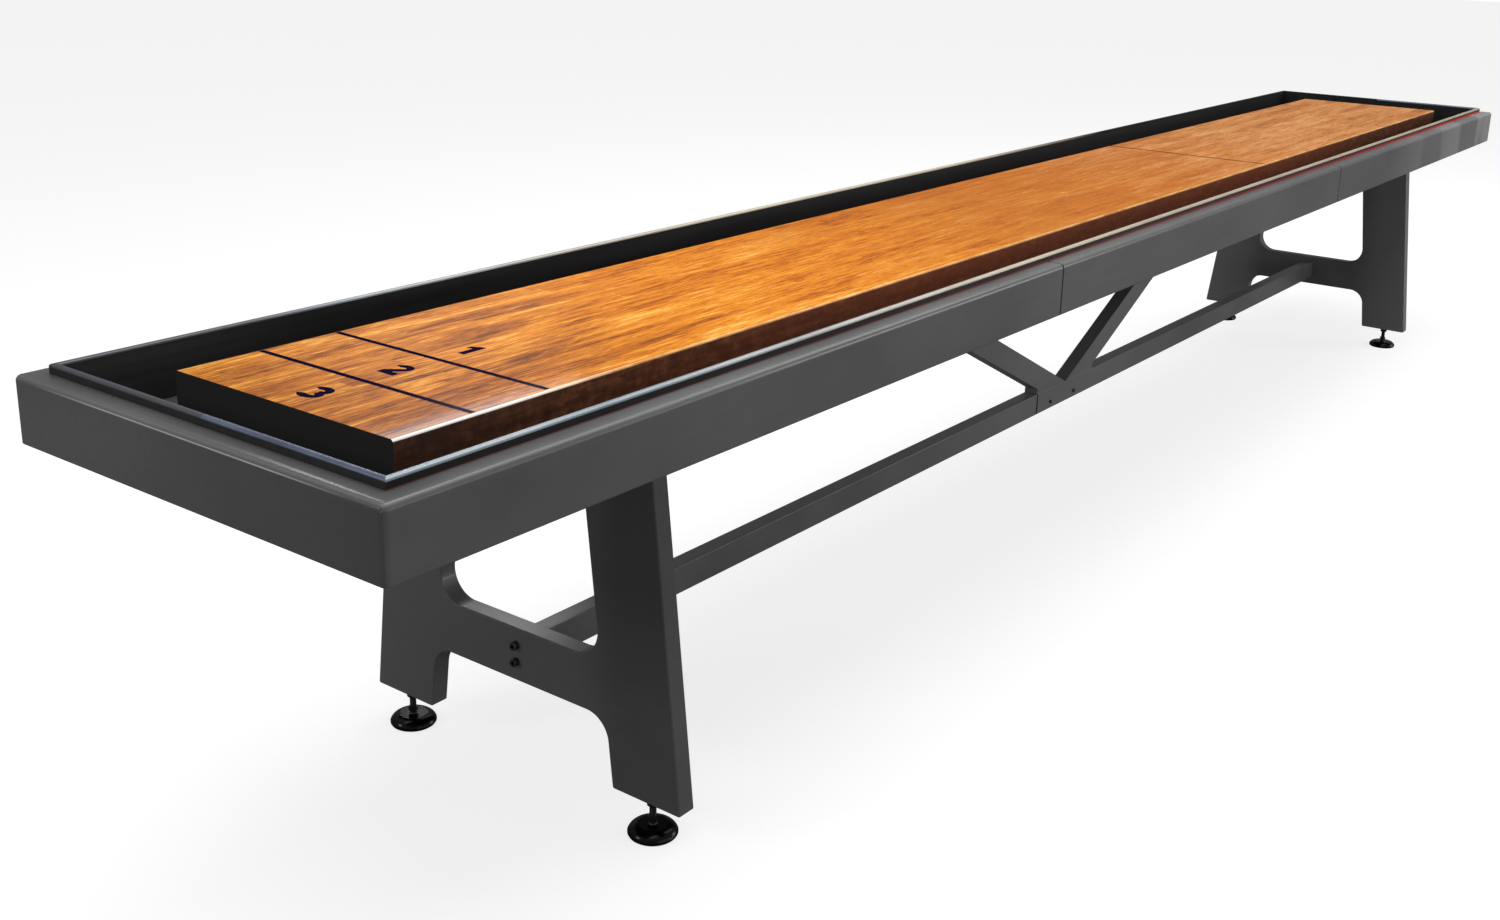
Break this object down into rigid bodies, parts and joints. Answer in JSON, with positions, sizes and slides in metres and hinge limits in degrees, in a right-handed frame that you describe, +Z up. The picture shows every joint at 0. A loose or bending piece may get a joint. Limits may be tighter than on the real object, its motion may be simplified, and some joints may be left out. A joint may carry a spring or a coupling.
{
  "type": "shuffleboard table",
  "caption": "Long shuffleboard table: a laminated wood playing board in a lined gutter trough, on H-shaped leg frames tied by a low stretcher with a V brace, on levelling feet.",
  "frame": {"origin": "centre of the footprint on the floor", "axes": "+X along the table away from the end with the scoring zones, +Y across the table, +Z up"},
  "size_m": [5.4864, 0.844, 0.838],
  "materials": {
    "rail_paint": "satin dark grey paint on solid wood, a little lighter on the worn arrises",
    "leg_paint": "satin charcoal paint on solid wood",
    "brace_paint": "satin charcoal paint on solid wood",
    "gutter_black": "black satin lacquer on the gutter walls",
    "trim_grey": "satin blue-grey metal bead",
    "carpet_black": "short black felt carpet",
    "board_maple": "laminated honey maple strips under a glossy clear coat, walnut-stained sides, black ends",
    "ink_navy": "navy-black inlay under the clear coat",
    "raw_ply": "bare plywood and softwood",
    "zinc_steel": "dull zinc plate",
    "black_steel": "black oxide",
    "stud_steel": "black-passivated steel",
    "foot_black": "glossy black moulding",
    "foot_rubber": "black rubber",
    "bush_nylon": "dark nylon"
  },
  "bodies": {
    "root": {"side_rail_front_left": "rail_paint", "side_rail_front_middle": "rail_paint", "side_rail_front_right": "rail_paint", "side_rail_back_left": "rail_paint", "side_rail_back_middle": "rail_paint", "side_rail_back_right": "rail_paint", "end_rail_left": "rail_paint", "leg_bearer_left": "raw_ply", "splice_bearer_left": "raw_ply", "leg_frame_left": "leg_paint", "stretcher_left": "brace_paint", "brace_strut_left": "brace_paint", "end_rail_right": "rail_paint", "leg_bearer_right": "raw_ply", "splice_bearer_right": "raw_ply", "leg_frame_right": "leg_paint", "stretcher_right": "brace_paint", "brace_strut_right": "brace_paint", "floor_panel_left": "raw_ply", "floor_panel_middle": "raw_ply", "floor_panel_right": "raw_ply", "gutter_liner_front": "gutter_black", "gutter_liner_back": "gutter_black", "gutter_liner_left": "gutter_black", "gutter_liner_right": "gutter_black", "gutter_trim": "trim_grey", "gutter_carpet": "carpet_black", "playfield_board": "board_maple", "score_lines": "ink_navy", "score_numerals": "ink_navy", "board_bearers": "raw_ply", "corner_blocks": "raw_ply", "leg_brackets": "zinc_steel", "bracket_screws": "zinc_steel", "leg_cap_screws": "black_steel", "stretcher_barrel_nuts": "zinc_steel", "lap_screws": "black_steel", "brace_screws": "black_steel", "climatic_brackets": "zinc_steel", "foot_inserts": "zinc_steel", "foot_jam_nuts": "stud_steel"},
    "climatic_rod_left": {"climatic_rod_left": "zinc_steel"},
    "climatic_rod_middle": {"climatic_rod_middle": "zinc_steel"},
    "climatic_rod_right": {"climatic_rod_right": "zinc_steel"},
    "foot_swivel_front_left": {"foot_bush_front_left": "bush_nylon"},
    "foot_screw_front_left": {"foot_stud_front_left": "stud_steel"},
    "foot_disc_front_left": {"foot_base_front_left": "foot_black", "foot_pad_front_left": "foot_rubber"},
    "foot_swivel_front_right": {"foot_bush_front_right": "bush_nylon"},
    "foot_screw_front_right": {"foot_stud_front_right": "stud_steel"},
    "foot_disc_front_right": {"foot_base_front_right": "foot_black", "foot_pad_front_right": "foot_rubber"},
    "foot_swivel_back_left": {"foot_bush_back_left": "bush_nylon"},
    "foot_screw_back_left": {"foot_stud_back_left": "stud_steel"},
    "foot_disc_back_left": {"foot_base_back_left": "foot_black", "foot_pad_back_left": "foot_rubber"},
    "foot_swivel_back_right": {"foot_bush_back_right": "bush_nylon"},
    "foot_screw_back_right": {"foot_stud_back_right": "stud_steel"},
    "foot_disc_back_right": {"foot_base_back_right": "foot_black", "foot_pad_back_right": "foot_rubber"}
  },
  "joints": [
    {"name": "climatic_rod_left_turn", "type": "hinge", "parent": "root", "child": "climatic_rod_left", "pos_m": [-1.5, 0, 0.734], "axis": [0, 1, 0], "range_deg": [-540, 540]},
    {"name": "climatic_rod_middle_turn", "type": "hinge", "parent": "root", "child": "climatic_rod_middle", "pos_m": [0, 0, 0.734], "axis": [0, 1, 0], "range_deg": [-540, 540]},
    {"name": "climatic_rod_right_turn", "type": "hinge", "parent": "root", "child": "climatic_rod_right", "pos_m": [1.5, 0, 0.734], "axis": [0, 1, 0], "range_deg": [-540, 540]},
    {"name": "foot_height_front_left", "type": "slide", "parent": "root", "child": "foot_swivel_front_left", "axis": [0, 0, 1], "range_m": [-0.0195, 0]},
    {"name": "foot_screw_front_left_turn", "type": "hinge", "parent": "foot_swivel_front_left", "child": "foot_screw_front_left", "pos_m": [-2.091, -0.303, 0.0155], "axis": [0, 0, 1], "range_deg": [-3600, 0]},
    {"name": "foot_disc_front_left_tilt", "type": "hinge", "parent": "foot_swivel_front_left", "child": "foot_disc_front_left", "pos_m": [-2.091, -0.303, 0.0155], "axis": [1, 0, 0], "range_deg": [-8, 8]},
    {"name": "foot_height_front_right", "type": "slide", "parent": "root", "child": "foot_swivel_front_right", "axis": [0, 0, 1], "range_m": [-0.0195, 0]},
    {"name": "foot_screw_front_right_turn", "type": "hinge", "parent": "foot_swivel_front_right", "child": "foot_screw_front_right", "pos_m": [2.091, -0.303, 0.0155], "axis": [0, 0, 1], "range_deg": [-3600, 0]},
    {"name": "foot_disc_front_right_tilt", "type": "hinge", "parent": "foot_swivel_front_right", "child": "foot_disc_front_right", "pos_m": [2.091, -0.303, 0.0155], "axis": [1, 0, 0], "range_deg": [-8, 8]},
    {"name": "foot_height_back_left", "type": "slide", "parent": "root", "child": "foot_swivel_back_left", "axis": [0, 0, 1], "range_m": [-0.0195, 0]},
    {"name": "foot_screw_back_left_turn", "type": "hinge", "parent": "foot_swivel_back_left", "child": "foot_screw_back_left", "pos_m": [-2.091, 0.303, 0.0155], "axis": [0, 0, 1], "range_deg": [-3600, 0]},
    {"name": "foot_disc_back_left_tilt", "type": "hinge", "parent": "foot_swivel_back_left", "child": "foot_disc_back_left", "pos_m": [-2.091, 0.303, 0.0155], "axis": [1, 0, 0], "range_deg": [-8, 8]},
    {"name": "foot_height_back_right", "type": "slide", "parent": "root", "child": "foot_swivel_back_right", "axis": [0, 0, 1], "range_m": [-0.0195, 0]},
    {"name": "foot_screw_back_right_turn", "type": "hinge", "parent": "foot_swivel_back_right", "child": "foot_screw_back_right", "pos_m": [2.091, 0.303, 0.0155], "axis": [0, 0, 1], "range_deg": [-3600, 0]},
    {"name": "foot_disc_back_right_tilt", "type": "hinge", "parent": "foot_swivel_back_right", "child": "foot_disc_back_right", "pos_m": [2.091, 0.303, 0.0155], "axis": [1, 0, 0], "range_deg": [-8, 8]}
  ],
  "couplings": [
    {"joint": "foot_screw_front_left_turn", "follows": "foot_height_front_left", "rad_per_m": 3215.6},
    {"joint": "foot_screw_front_right_turn", "follows": "foot_height_front_right", "rad_per_m": 3215.6},
    {"joint": "foot_screw_back_left_turn", "follows": "foot_height_back_left", "rad_per_m": 3215.6},
    {"joint": "foot_screw_back_right_turn", "follows": "foot_height_back_right", "rad_per_m": 3215.6}
  ]
}
